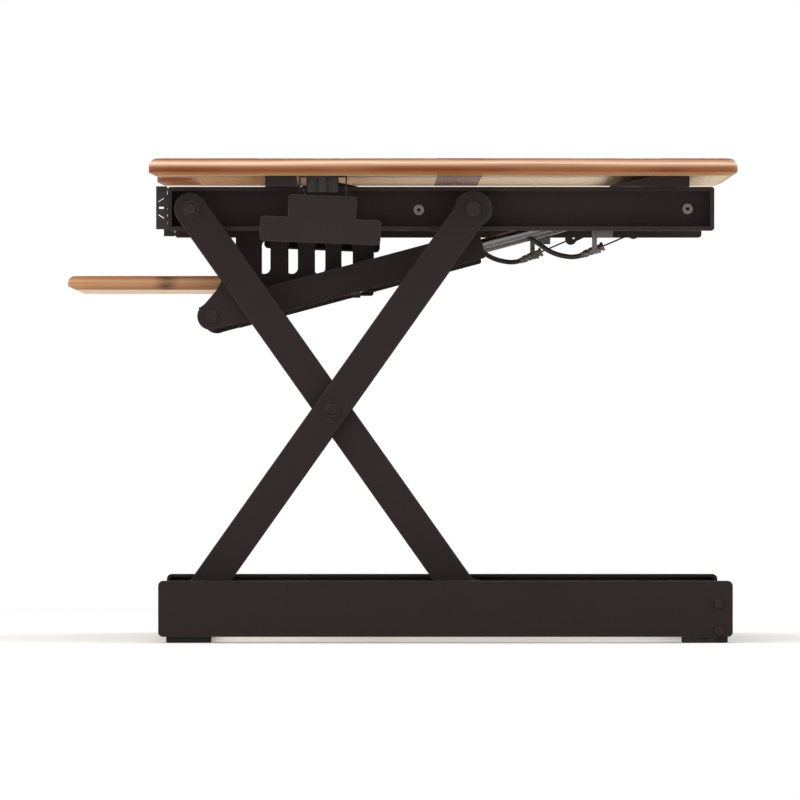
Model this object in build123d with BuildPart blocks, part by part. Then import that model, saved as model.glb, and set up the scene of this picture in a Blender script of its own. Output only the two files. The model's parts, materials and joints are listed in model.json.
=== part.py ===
from build123d import *
import math
import os

os.makedirs("parts", exist_ok=True)

# Standing desk converter. X is the width, Y runs from the front (-Y) to the rear, Z is up. Millimetres.
# The right-hand side (+X) is modelled and mirrored to the left, apart from the two release cables.

# Boards
DESK_TOP = 485.0
DESK_THICKNESS = 17.5
DESK_HALF_WIDTH = 475.0
DESK_FRONT = -253.5
DESK_REAR = 336.0
DESK_CORNER = 22.0
RECESS_DEPTH = 39.0
RECESS_HALF_WIDTH = 345.0
TRAY_FRONT = -336.0
TRAY_REAR = -36.0
TRAY_BOTTOM = 354.0
TRAY_THICKNESS = 14.0
TRAY_HALF_WIDTH = 357.5

# Base
BASE_OUT = 468.0
BASE_FLANGE = 33.0
BASE_SHEET = 2.5
BASE_FRONT = -244.0
BASE_REAR = 331.0
BASE_LOW = 6.0
BASE_HIGH = 62.0
BASE_CORNER = 5.0

# Scissor legs: front pivots are fixed, rear ends carry rollers
PIVOT_Y = -212.0
LOW_PIVOT_Z = 34.0
HIGH_PIVOT_Z = 434.5
REACH = 283.6
LEG_WIDTH = 33.0
LEG_THICKNESS = 9.0
INNER_LEG_X = 413.0
OUTER_LEG_X = 424.0
AXLE_RADIUS = 5.0
RUNNING = 0.05
CROSS_TUBE_SHARE = 0.9

# Upper rails: lipped channels that open outwards
RAIL_X = 383.0
RAIL_WIDTH = 25.0
RAIL_SHEET = 2.0
RAIL_LIP = 4.0
RAIL_FRONT = -235.0
RAIL_REAR = 313.5
RAIL_LOW = 413.0
RAIL_HIGH = 457.0
RAIL_CORNER = 3.0

# Gas struts, from the bracket on the inner leg up to the rear stud on the rail
STRUT_FRONT = (-191.5, 327.0)
STRUT_REAR = (245.0, 444.0)
STRUT_X = 372.5
HOUSING_START = 20.0
HOUSING_END = 282.0
HOUSING_HEIGHT = 28.6
HOUSING_WIDTH = 19.0
HOUSING_SHEET = 1.5
TUBE_RADIUS = 7.8
TUBE_BORE = 6.2
ROD_RADIUS = 5.0
ROD_START = 180.0
STRUT_PIN_RADIUS = 6.0
STUD_RADIUS = 4.0
EYE_WIDTH = 12.6

# Tray brackets and slides
BRACKET_X = 358.0
BRACKET_FRONT = -167.0
BRACKET_REAR = -28.0
BRACKET_TOP = 452.0
SLIDE_FRONT = -232.0
SLIDE_REAR = 28.0
SLIDE_Z = 435.0

# Hand levers
LEVER_X = 451.0
LEVER_Z = 441.6
LEVER_TILT = 2.3
LEVER_Y = -79.5

# Release cables
SHEATH_RADIUS = 2.5
CABLE_X = 350.0
STOP_Y = 198.0
STOP_Z = 396.0
LUG_Y = 233.0
LUG_Z = 411.0
LEFT_CABLE_SHIFT = -56.0
WIRE_RADIUS = 0.8

RIGHT = 1
LEFT = -1

DESK_BOTTOM = DESK_TOP - DESK_THICKNESS
LEG_RADIUS = LEG_WIDTH / 2
LEG_RISE = HIGH_PIVOT_Z - LOW_PIVOT_Z
LEG_LENGTH = math.hypot(REACH, LEG_RISE)
LEG_ANGLE = math.atan2(LEG_RISE, REACH)
ROLLER_Y = PIVOT_Y + REACH
CROSSING = (PIVOT_Y + REACH / 2, LOW_PIVOT_Z + LEG_RISE / 2)
STRUT_RUN = STRUT_REAR[0] - STRUT_FRONT[0]
STRUT_LENGTH = math.hypot(STRUT_RUN, STRUT_REAR[1] - STRUT_FRONT[1])
STRUT_ANGLE = math.atan2(STRUT_REAR[1] - STRUT_FRONT[1], STRUT_RUN)
WIRE_LENGTH = math.hypot(LUG_Y - STOP_Y, LUG_Z - STOP_Z)
WIRE_DIRECTION = (0, (LUG_Y - STOP_Y) / WIRE_LENGTH, (LUG_Z - STOP_Z) / WIRE_LENGTH)


def write(piece, name):
    """Labels a finished piece and writes it to its STEP file."""
    piece.part.label = name
    export_step(piece.part, f"parts/{name}.step")


def write_pair(piece, name):
    """Writes the right-hand piece and its mirror image as two nodes."""
    write(piece, f"{name}_right")
    with BuildPart() as other:
        add(mirror(piece.part, about=Plane.YZ))
    write(other, f"{name}_left")


def turned_plane(x, point, angle):
    """A side plane at x whose own x axis climbs by angle from +Y, with its origin at (y, z) point."""
    return Plane(origin=(x, *point), x_dir=(0, math.cos(angle), math.sin(angle)), z_dir=(1, 0, 0))


def board(half_width, front, rear, bottom, thickness, corner, recess, edge):
    """A wooden board with a rounded top edge and an undercut lower edge."""
    with BuildPart() as piece:
        with BuildSketch(Plane.XY.offset(bottom)):
            with BuildLine():
                if recess:
                    inner = RECESS_HALF_WIDTH
                    ease = recess * 1.2
                    deep = front + recess
                    Line((-half_width, front), (-inner - ease, front))
                    Bezier((-inner - ease, front), (-inner, front), (-inner, deep), (-inner + ease, deep))
                    Line((-inner + ease, deep), (inner - ease, deep))
                    Bezier((inner - ease, deep), (inner, deep), (inner, front), (inner + ease, front))
                    Line((inner + ease, front), (half_width, front))
                else:
                    Line((-half_width, front), (half_width, front))
                Polyline((half_width, front), (half_width, rear), (-half_width, rear), (-half_width, front))
            make_face()
            corners = [(x, y) for x in (-half_width, half_width) for y in (front, rear)]
            sketch_corners = [
                v
                for v in vertices()
                if any(abs(v.X - x) < 0.1 and abs(v.Y - y) < 0.1 for x, y in corners)
            ]
            fillet(sketch_corners, corner)
        extrude(amount=thickness)
        fillet(piece.faces().sort_by(Axis.Z)[-1].outer_wire().edges(), edge)
        chamfer(piece.faces().sort_by(Axis.Z)[0].outer_wire().edges(), 3.5, 7.5)
    return piece


def pan(x, width, front, rear, low, high, corner, sheet, opens_outwards):
    """A pressed channel with closed ends: a rounded box, extruded along X from x, open on one side."""
    middle = ((front + rear) / 2, (low + high) / 2)
    with BuildPart() as piece:
        with BuildSketch(Plane.YZ.offset(x)):
            with Locations(middle):
                RectangleRounded(rear - front, high - low, corner)
        extrude(amount=width)
        start = x + sheet if opens_outwards else x - 1
        with BuildSketch(Plane.YZ.offset(start)):
            with Locations(middle):
                RectangleRounded(rear - front - 2 * sheet, high - low - 2 * sheet, corner - sheet / 2)
        extrude(amount=width - sheet + 1, mode=Mode.SUBTRACT)
    return piece


def bar(x, start, angle):
    """A leg: a flat bar with round ends and a hole at each end and at the middle."""
    with BuildPart() as piece:
        with BuildSketch(turned_plane(x, start, angle)):
            with Locations((LEG_LENGTH / 2, 0)):
                SlotCenterToCenter(LEG_LENGTH, LEG_WIDTH)
            with Locations((0, 0), (LEG_LENGTH / 2, 0), (LEG_LENGTH, 0)):
                Circle(AXLE_RADIUS + RUNNING, mode=Mode.SUBTRACT)
        extrude(amount=LEG_THICKNESS)
        chamfer(piece.faces().sort_by(Axis.X)[-1].outer_wire().edges(), 0.9)
    return piece


def along_x(point, *steps):
    """Stacked cylinders on one X axis. Each step is (x start, x end, radius)."""
    for start, end, radius in steps:
        with BuildSketch(Plane.YZ.offset(start)) as section:
            with Locations(point):
                Circle(radius)
        extrude(section.sketch, amount=end - start)


def corner_radii(points):
    """Radii for a bent tube: as large as the two runs at each corner allow."""
    radii = []
    for before, here, after in zip(points, points[1:], points[2:]):
        first = Vector(*here) - Vector(*before)
        second = Vector(*after) - Vector(*here)
        half_turn = math.radians(first.get_angle(second) / 2)
        radii.append(0.45 * min(first.length, second.length) / math.tan(half_turn))
    return radii


# ---------------------------------------------------------------- boards

desk = board(
    DESK_HALF_WIDTH, DESK_FRONT, DESK_REAR, DESK_BOTTOM, DESK_THICKNESS, DESK_CORNER, RECESS_DEPTH, 9.0
)
write(desk, "desktop_board")

tray = board(
    TRAY_HALF_WIDTH, TRAY_FRONT, TRAY_REAR, TRAY_BOTTOM, TRAY_THICKNESS, 18.0, 0, 7.0
)
write(tray, "keyboard_tray_board")

# ---------------------------------------------------------------- base

base_channel = pan(
    BASE_OUT - BASE_FLANGE, BASE_FLANGE, BASE_FRONT, BASE_REAR, BASE_LOW, BASE_HIGH, BASE_CORNER, BASE_SHEET, False
)
SCREW_Y = 317.0
SCREW_HEIGHTS = (12.0, 39.0)
with BuildPart() as base_rail:
    add(base_channel.part)
    with BuildSketch(Plane.YZ.offset(BASE_OUT - BASE_SHEET)):
        with Locations(*[(SCREW_Y, z) for z in SCREW_HEIGHTS]):
            Circle(2.6)
    extrude(amount=BASE_SHEET, mode=Mode.SUBTRACT)
write_pair(base_rail, "base_rail")

INSIDE = BASE_OUT - BASE_SHEET
FLOOR = BASE_LOW + BASE_SHEET
REAR_BAR_FRONT = 305.0
REAR_BAR_DEPTH = 23.5
REAR_BAR_HEIGHT = 42.0
with BuildPart() as rear_bar:
    with BuildSketch(Plane.YZ.offset(-INSIDE)):
        with Locations((REAR_BAR_FRONT + REAR_BAR_DEPTH / 2, FLOOR + REAR_BAR_HEIGHT / 2)):
            RectangleRounded(REAR_BAR_DEPTH, REAR_BAR_HEIGHT, 4)
            RectangleRounded(REAR_BAR_DEPTH - 4, REAR_BAR_HEIGHT - 4, 2, mode=Mode.SUBTRACT)
    extrude(amount=2 * INSIDE)
    for end in (-INSIDE, INSIDE - 3):
        with BuildSketch(Plane.YZ.offset(end)):
            with Locations((REAR_BAR_FRONT + REAR_BAR_DEPTH / 2, FLOOR + REAR_BAR_HEIGHT / 2)):
                Rectangle(REAR_BAR_DEPTH - 4, REAR_BAR_HEIGHT - 4)
        extrude(amount=3)
        with BuildSketch(Plane.YZ.offset(end)):
            with Locations(*[(SCREW_Y, z) for z in SCREW_HEIGHTS]):
                Circle(2.6)
        extrude(amount=3, mode=Mode.SUBTRACT)
write(rear_bar, "base_rear_crossbar")

with BuildPart() as front_bar:
    with BuildSketch(Plane.XY.offset(FLOOR)):
        with Locations((0, -215)):
            RectangleRounded(2 * INSIDE, 40, 3)
    extrude(amount=3)
write(front_bar, "base_front_crossbar")

with BuildPart() as base_screws:
    for z in SCREW_HEIGHTS:
        along_x((SCREW_Y, z), (INSIDE - 3, BASE_OUT, 2.5), (BASE_OUT, BASE_OUT + 2.4, 5.0))
    chamfer(base_screws.faces().sort_by(Axis.X)[-2:].edges(), 0.9)
    with BuildSketch(Plane.YZ.offset(BASE_OUT + 1)):
        with Locations(*[(SCREW_Y, z) for z in SCREW_HEIGHTS]):
            RegularPolygon(1.9, 6)
    extrude(amount=2, mode=Mode.SUBTRACT)
    mirror(about=Plane.YZ)
write(base_screws, "base_screws")

FOOT_SPANS = ((-236.0, -191.0), (280.0, 326.0))
with BuildPart() as feet:
    for front, rear in FOOT_SPANS:
        with BuildSketch():
            with Locations((BASE_OUT - BASE_FLANGE / 2, (front + rear) / 2)):
                RectangleRounded(28, rear - front, 4)
        extrude(amount=BASE_LOW)
    chamfer(feet.faces().sort_by(Axis.Z)[:2].edges(), 1.0)
    mirror(about=Plane.YZ)
write(feet, "rubber_feet")

with BuildPart() as base_studs:
    low_pivot = (PIVOT_Y, LOW_PIVOT_Z)
    outer_face = OUTER_LEG_X + LEG_THICKNESS
    along_x(low_pivot, (INSIDE - 3, INSIDE, 16), (outer_face + 0.4, INSIDE, 9), (OUTER_LEG_X - 3, INSIDE, AXLE_RADIUS))
    along_x(low_pivot, (OUTER_LEG_X - 3, OUTER_LEG_X - 0.4, 8))
    mirror(about=Plane.YZ)
write(base_studs, "base_pivot_studs")

# ---------------------------------------------------------------- legs

outer_leg = bar(OUTER_LEG_X, (PIVOT_Y, LOW_PIVOT_Z), LEG_ANGLE)
write_pair(outer_leg, "outer_leg")

inner_leg = bar(INNER_LEG_X, (PIVOT_Y, HIGH_PIVOT_Z), -LEG_ANGLE)
write_pair(inner_leg, "inner_leg")

ROLLER_IN_RAIL = (RAIL_X + 6, RAIL_X + 22)
with BuildPart() as upper_axles:
    top_end = (ROLLER_Y, HIGH_PIVOT_Z)
    along_x(
        top_end,
        (RAIL_X + 4, OUTER_LEG_X + LEG_THICKNESS, AXLE_RADIUS),
        (RAIL_X + 3.5, RAIL_X + 5.5, 7.5),
        (OUTER_LEG_X + LEG_THICKNESS, OUTER_LEG_X + LEG_THICKNESS + 2.0, 7.5),
        (ROLLER_IN_RAIL[1] + 0.5, OUTER_LEG_X, 8.0),
    )
    mirror(about=Plane.YZ)
write(upper_axles, "upper_roller_axles")

ROLLER_IN_BASE = (441.0, 461.0)
with BuildPart() as lower_axles:
    low_end = (ROLLER_Y, LOW_PIVOT_Z)
    along_x(
        low_end,
        (INNER_LEG_X, ROLLER_IN_BASE[1] + 3, AXLE_RADIUS),
        (INNER_LEG_X - 2.0, INNER_LEG_X, 7.5),
        (INNER_LEG_X + LEG_THICKNESS, ROLLER_IN_BASE[0] - 0.5, 8.0),
        (ROLLER_IN_BASE[1] + 0.5, ROLLER_IN_BASE[1] + 2.5, 7.5),
    )
    mirror(about=Plane.YZ)
write(lower_axles, "lower_roller_axles")


def roller(point, span, radius):
    """A nylon wheel with a recessed face on each side."""
    with BuildPart() as piece:
        with BuildSketch(Plane.YZ.offset(span[0])):
            with Locations(point):
                Circle(radius)
                Circle(AXLE_RADIUS + RUNNING, mode=Mode.SUBTRACT)
        extrude(amount=span[1] - span[0])
        chamfer(piece.edges().filter_by(GeomType.CIRCLE).sort_by(SortBy.RADIUS)[-2:], 1.0)
        for start in (span[0], span[1] - 2):
            with BuildSketch(Plane.YZ.offset(start)):
                with Locations(point):
                    Circle(radius - 4)
                    Circle(AXLE_RADIUS + 5, mode=Mode.SUBTRACT)
            extrude(amount=2, mode=Mode.SUBTRACT)
    return piece


ROLLER_GAP = 0.3
UPPER_ROLLER_RADIUS = HIGH_PIVOT_Z - RAIL_LOW - RAIL_SHEET - ROLLER_GAP
LOWER_ROLLER_RADIUS = LOW_PIVOT_Z - FLOOR - ROLLER_GAP
write_pair(roller((ROLLER_Y, HIGH_PIVOT_Z), ROLLER_IN_RAIL, UPPER_ROLLER_RADIUS), "upper_roller")
write_pair(roller((ROLLER_Y, LOW_PIVOT_Z), ROLLER_IN_BASE, LOWER_ROLLER_RADIUS), "lower_roller")

with BuildPart() as crossing_bolts:
    face = OUTER_LEG_X + LEG_THICKNESS
    along_x(
        CROSSING,
        (INNER_LEG_X - 5, face, AXLE_RADIUS),
        (face + 0.4, face + 1.8, 8.5),
        (face + 1.8, face + 4.4, 6.2),
        (face, face + 0.4, AXLE_RADIUS),
    )
    chamfer(crossing_bolts.faces().sort_by(Axis.X)[-1].edges(), 1.2)
    with BuildSketch(Plane.YZ.offset(face + 2.6)):
        with Locations(CROSSING):
            RegularPolygon(2.6, 6)
    extrude(amount=3, mode=Mode.SUBTRACT)
    with BuildSketch(Plane.YZ.offset(INNER_LEG_X - 5)):
        with Locations(CROSSING):
            RegularPolygon(8, 6)
    extrude(amount=5)
    mirror(about=Plane.YZ)
write(crossing_bolts, "crossing_pivot_bolts")

with BuildPart() as washers:
    with BuildSketch(Plane.YZ.offset(INNER_LEG_X + LEG_THICKNESS)):
        with Locations(CROSSING):
            Circle(10)
            Circle(AXLE_RADIUS + RUNNING, mode=Mode.SUBTRACT)
    extrude(amount=OUTER_LEG_X - INNER_LEG_X - LEG_THICKNESS - 0.3)
    mirror(about=Plane.YZ)
write(washers, "crossing_washers")

tube_centre = (PIVOT_Y + CROSS_TUBE_SHARE * REACH, HIGH_PIVOT_Z - CROSS_TUBE_SHARE * LEG_RISE)
with BuildPart() as leg_tube:
    with BuildSketch(Plane.YZ.offset(-INNER_LEG_X)):
        with Locations(tube_centre):
            Circle(12.5)
            Circle(10.5, mode=Mode.SUBTRACT)
    extrude(amount=2 * INNER_LEG_X)
write(leg_tube, "leg_cross_tube")

GUSSET_SHEET = 3.0
GUSSET_OUTLINE = [(-203.5, 333), (-187, 352), (-178, 368), (-177, 385), (-140, 332), (-148, 324.5), (-186, 314.5)]
with BuildPart() as gusset:
    with BuildSketch(Plane.YZ.offset(INNER_LEG_X - GUSSET_SHEET)):
        Polygon(*GUSSET_OUTLINE, align=None)
        with Locations(STRUT_FRONT):
            Circle(13.8)
            Circle(4.0, mode=Mode.SUBTRACT)
    extrude(amount=GUSSET_SHEET)
write_pair(gusset, "strut_bracket")

with BuildPart() as strut_pins:
    along_x(STRUT_FRONT, (STRUT_X - 7.5, INNER_LEG_X - GUSSET_SHEET, STRUT_PIN_RADIUS))
    along_x(STRUT_FRONT, (STRUT_X + 11, INNER_LEG_X - GUSSET_SHEET, 8.0))
    along_x(STRUT_FRONT, (INNER_LEG_X, INNER_LEG_X + 2.5, 6.5))
    along_x(STRUT_FRONT, (INNER_LEG_X - GUSSET_SHEET, INNER_LEG_X, 4.0))
    mirror(about=Plane.YZ)
write(strut_pins, "strut_front_pins")

# ---------------------------------------------------------------- upper frame

rail_channel = pan(RAIL_X, RAIL_WIDTH, RAIL_FRONT, RAIL_REAR, RAIL_LOW, RAIL_HIGH, RAIL_CORNER, RAIL_SHEET, True)
RAIL_SCREWS = ((17.0, 434.0), (287.0, 435.0))
with BuildPart() as rail:
    add(rail_channel.part)
    with BuildSketch(Plane.YZ.offset(RAIL_X + RAIL_WIDTH - RAIL_SHEET)):
        with Locations(((RAIL_FRONT + RAIL_REAR) / 2, (RAIL_LOW + RAIL_HIGH) / 2)):
            RectangleRounded(RAIL_REAR - RAIL_FRONT - 1, RAIL_HIGH - RAIL_LOW - 1, RAIL_CORNER - 0.5)
            Rectangle(RAIL_REAR - RAIL_FRONT - 2 * RAIL_LIP, RAIL_HIGH - RAIL_LOW - 2 * RAIL_LIP, mode=Mode.SUBTRACT)
    extrude(amount=RAIL_SHEET)
    with BuildSketch(Plane.YZ.offset(RAIL_X)):
        with Locations(*RAIL_SCREWS):
            Circle(2.6)
        with Locations(STRUT_REAR):
            Circle(STUD_RADIUS)
    extrude(amount=RAIL_SHEET, mode=Mode.SUBTRACT)
write_pair(rail, "upper_rail")

CAP_LENGTH = 11.0
CAP_REAR = RAIL_FRONT - 0.6
CAP_LOW = 414.5
CAP_HIGH = 457.5
CAP_MIDDLE = (CAP_LOW + CAP_HIGH) / 2
with BuildPart() as front_caps:
    with BuildSketch(Plane.YZ.offset(RAIL_X)):
        with Locations((CAP_REAR - CAP_LENGTH / 2, CAP_MIDDLE)):
            Rectangle(CAP_LENGTH, CAP_HIGH - CAP_LOW)
            with Locations((1.2, 0)):
                Rectangle(CAP_LENGTH - 3.2, 2.2, mode=Mode.SUBTRACT)
            with Locations((0.6, 8.6)):
                Rectangle(9.2, 0.9, rotation=33, mode=Mode.SUBTRACT)
            with Locations((0.6, -9.4)):
                Rectangle(9.2, 0.9, rotation=-33, mode=Mode.SUBTRACT)
    extrude(amount=RAIL_WIDTH)
    with BuildSketch(Plane.YZ.offset(RAIL_X)):
        with Locations((CAP_REAR + 0.3, CAP_LOW + 2), (CAP_REAR + 0.3, CAP_HIGH - 3)):
            Rectangle(0.6, 3)
    extrude(amount=RAIL_WIDTH)
    mirror(about=Plane.YZ)
write(front_caps, "rail_front_caps")

with BuildPart() as rear_tube:
    with BuildSketch(Plane.YZ.offset(-RAIL_X)):
        with Locations(RAIL_SCREWS[1]):
            Circle(11)
            Circle(9.5, mode=Mode.SUBTRACT)
    extrude(amount=2 * RAIL_X)
    for end in (-RAIL_X, RAIL_X - 4):
        with BuildSketch(Plane.YZ.offset(end)):
            with Locations(RAIL_SCREWS[1]):
                Circle(9.5)
                Circle(2.6, mode=Mode.SUBTRACT)
        extrude(amount=4)
write(rear_tube, "rear_cross_tube")


BRIDGE_SHEET = 2.0
BRIDGE_SCREW_COLUMNS = (-430.0, -220.0, 0.0, 220.0, 430.0)
FRONT_BRIDGE = (-137.0, -106.0, 0.0)
REAR_BRIDGE = (208.0, 288.0, 45.0)


def bridge_screw_places(front, rear, slope):
    """Where the screws through a bridge stand, in plan: along the middle of its flat top."""
    return [(x, (front + slope + rear) / 2) for x in BRIDGE_SCREW_COLUMNS]


def bridge(half_width, front, rear, slope):
    """A channel, open below, that lies across both rails and carries the desktop. Its front wall can slope."""
    height = DESK_BOTTOM - RAIL_HIGH
    wall = BRIDGE_SHEET * math.hypot(slope, height) / height
    inner_top = front + wall + slope * (height - BRIDGE_SHEET) / height
    inner_rear = rear - BRIDGE_SHEET
    inner_high = DESK_BOTTOM - BRIDGE_SHEET
    outline = [(front, RAIL_HIGH), (front + slope, DESK_BOTTOM), (rear, DESK_BOTTOM), (rear, RAIL_HIGH)]
    hollow = [(front + wall, RAIL_HIGH), (inner_top, inner_high), (inner_rear, inner_high), (inner_rear, RAIL_HIGH)]
    with BuildPart() as piece:
        with BuildSketch(Plane.YZ.offset(-half_width)):
            Polygon(*outline, align=None)
            Polygon(*hollow, align=None, mode=Mode.SUBTRACT)
        extrude(amount=2 * half_width)
        for end in (-half_width, half_width - BRIDGE_SHEET):
            with BuildSketch(Plane.YZ.offset(end)):
                Polygon(*outline, align=None)
            extrude(amount=BRIDGE_SHEET)
        with BuildSketch(Plane.XY.offset(inner_high)):
            with Locations(*bridge_screw_places(front, rear, slope)):
                Circle(2.2)
        extrude(amount=BRIDGE_SHEET, mode=Mode.SUBTRACT)
    return piece


write(bridge(465.0, *FRONT_BRIDGE), "front_bridge_bar")
write(bridge(455.0, *REAR_BRIDGE), "rear_bridge_bar")

with BuildPart() as desk_screws:
    for strip in (FRONT_BRIDGE, REAR_BRIDGE):
        for base, height, radius in ((DESK_BOTTOM - 4.5, 2.5, 4.2), (DESK_BOTTOM - 2, 13, 2.2)):
            with BuildSketch(Plane.XY.offset(base)):
                with Locations(*bridge_screw_places(*strip)):
                    Circle(radius)
            extrude(amount=height)
write(desk_screws, "desktop_screws")

with BuildPart() as slide_rail:
    with BuildSketch(Plane.XZ.offset(-SLIDE_REAR)):
        with Locations((RAIL_X - 8.5, SLIDE_Z)):
            Rectangle(17, 26)
        with Locations((RAIL_X - 10, SLIDE_Z)):
            Rectangle(17, 23, mode=Mode.SUBTRACT)
    extrude(amount=SLIDE_REAR - SLIDE_FRONT)
    with BuildSketch(Plane.YZ.offset(RAIL_X - 1.5)):
        with Locations(RAIL_SCREWS[0]):
            Circle(2.6)
    extrude(amount=1.5, mode=Mode.SUBTRACT)
write_pair(slide_rail, "slide_rail")

with BuildPart() as slide_runner:
    with BuildSketch(Plane.XZ.offset(-SLIDE_REAR + 6)):
        with Locations((370.2, SLIDE_Z)):
            Rectangle(20.4, 21)
        with Locations((371.7, SLIDE_Z)):
            Rectangle(20.4, 18, mode=Mode.SUBTRACT)
    extrude(amount=SLIDE_REAR - SLIDE_FRONT - 12)
write_pair(slide_runner, "slide_runner")

with BuildPart() as top_pivots:
    high_pivot = (PIVOT_Y, HIGH_PIVOT_Z)
    leg_face = INNER_LEG_X + LEG_THICKNESS
    along_x(
        high_pivot,
        (RAIL_X + RAIL_SHEET, INNER_LEG_X - 0.4, 8.0),
        (RAIL_X + RAIL_SHEET, leg_face + 0.4, AXLE_RADIUS),
        (leg_face + 0.4, leg_face + 1.6, 8.5),
        (leg_face + 1.6, leg_face + 3.4, 6.0),
    )
    chamfer(top_pivots.faces().sort_by(Axis.X)[-1].edges(), 1.0)
    with BuildSketch(Plane.YZ.offset(leg_face + 2.2)):
        with Locations(high_pivot):
            RegularPolygon(2.4, 6)
    extrude(amount=2, mode=Mode.SUBTRACT)
    mirror(about=Plane.YZ)
write(top_pivots, "top_pivot_bolts")

with BuildPart() as rear_studs:
    along_x(STRUT_REAR, (CABLE_X - 3, RAIL_X + RAIL_SHEET, STUD_RADIUS), (RAIL_X - 3, RAIL_X, 8.0))
    along_x(STRUT_REAR, (CABLE_X - 5, CABLE_X - 3, 6.0), (RAIL_X + RAIL_SHEET, RAIL_X + RAIL_SHEET + 1.0, 6.5))
    mirror(about=Plane.YZ)
write(rear_studs, "strut_rear_studs")

with BuildPart() as rail_screws:
    for place in RAIL_SCREWS:
        along_x(place, (RAIL_X - 1.5, RAIL_X + RAIL_SHEET, 2.6), (RAIL_X + RAIL_SHEET, RAIL_X + 4.4, 5.2))
    with BuildSketch(Plane.YZ.offset(RAIL_X + 3.2)):
        with Locations(*RAIL_SCREWS):
            RegularPolygon(2.0, 6)
    extrude(amount=2, mode=Mode.SUBTRACT)
    mirror(about=Plane.YZ)
write(rail_screws, "rail_screws")

# ---------------------------------------------------------------- keyboard tray carrier

SLOT_PITCH = 27.6
SLOT_FIRST = -138.2
SLOT_COUNT = 4
SLOT_LOW = 370.0
SLOT_HIGH = 410.0
TRAY_SCREWS = [(348.0, y) for y in (-150.0, -98.0, -46.0)]
with BuildPart() as bracket:
    with BuildSketch(Plane.YZ.offset(BRACKET_X)):
        with Locations(((BRACKET_FRONT + BRACKET_REAR) / 2, (TRAY_BOTTOM - 2 + BRACKET_TOP) / 2)):
            RectangleRounded(BRACKET_REAR - BRACKET_FRONT, BRACKET_TOP - TRAY_BOTTOM + 2, 3)
        for i in range(SLOT_COUNT):
            with Locations((SLOT_FIRST + i * SLOT_PITCH, (SLOT_LOW + SLOT_HIGH) / 2)):
                SlotOverall(SLOT_HIGH - SLOT_LOW, 12, rotation=90, mode=Mode.SUBTRACT)
    extrude(amount=2)
    with BuildSketch(Plane.XY.offset(TRAY_BOTTOM - 2)):
        with Locations((BRACKET_X - 11, (BRACKET_FRONT + BRACKET_REAR) / 2)):
            Rectangle(26, BRACKET_REAR - BRACKET_FRONT - 6)
        with Locations(*TRAY_SCREWS):
            Circle(2.2, mode=Mode.SUBTRACT)
    extrude(amount=2)
write_pair(bracket, "tray_bracket")

with BuildPart() as tray_screws:
    for base, height, radius in ((TRAY_BOTTOM - 4, 2, 4.2), (TRAY_BOTTOM - 2, 11, 2.2)):
        with BuildSketch(Plane.XY.offset(base)):
            with Locations(*TRAY_SCREWS):
                Circle(radius)
        extrude(amount=height)
    mirror(about=Plane.YZ)
write(tray_screws, "tray_screws")

# ---------------------------------------------------------------- hand levers

EAR_FRONT = -103.0
EAR_REAR = -55.0
EAR_SHEET = 1.6
PIN_RADIUS = 2.5
with BuildPart() as lever_brackets:
    with BuildSketch(Plane.XY.offset(DESK_BOTTOM - EAR_SHEET)):
        with Locations((LEVER_X, (EAR_FRONT + EAR_REAR) / 2)):
            Rectangle(26, EAR_REAR - EAR_FRONT)
    extrude(amount=EAR_SHEET)
    for y in (EAR_FRONT + EAR_SHEET, EAR_REAR):
        with BuildSketch(Plane.XZ.offset(-y)):
            with Locations((LEVER_X - 1, (DESK_BOTTOM + LEVER_Z) / 2)):
                Rectangle(10, DESK_BOTTOM - LEVER_Z)
            with Locations((LEVER_X, LEVER_Z)):
                Circle(5)
                Circle(PIN_RADIUS, mode=Mode.SUBTRACT)
        extrude(amount=EAR_SHEET)
    mirror(about=Plane.YZ)
write(lever_brackets, "lever_brackets")

with BuildPart() as lever_pins:
    for y, length, radius in ((-47.0, 65.0, PIN_RADIUS), (-44.5, 2.5, 4.0), (-112.0, 1.5, 4.0)):
        with BuildSketch(Plane.XZ.offset(-y)):
            with Locations((LEVER_X, LEVER_Z)):
                Circle(radius)
        extrude(amount=length)
    mirror(about=Plane.YZ)
write(lever_pins, "lever_pins")

with BuildPart() as spring_rings:
    for i in range(6):
        with BuildSketch(Plane.XY):
            with Locations((LEVER_X + 4.0, -98.0 + 1.7 * i)):
                Circle(0.8)
        revolve(axis=Axis((LEVER_X, 0, 0), (0, 1, 0)))
with BuildPart() as lever_springs:
    add(Pos(0, 0, LEVER_Z) * spring_rings.part)
    mirror(about=Plane.YZ)
write(lever_springs, "lever_springs")

BLOCK_FRONT = -95.6
BLOCK_REAR = -63.4
with BuildPart() as lever_blocks:
    with BuildSketch(Plane.XY.offset(451)):
        with Locations((LEVER_X, (BLOCK_FRONT + BLOCK_REAR) / 2)):
            RectangleRounded(16, BLOCK_REAR - BLOCK_FRONT, 3)
            with Locations((7, 0)):
                Circle(6)
    extrude(amount=DESK_BOTTOM - EAR_SHEET - 451)
    mirror(about=Plane.YZ)
write(lever_blocks, "cable_anchor_blocks")

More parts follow.
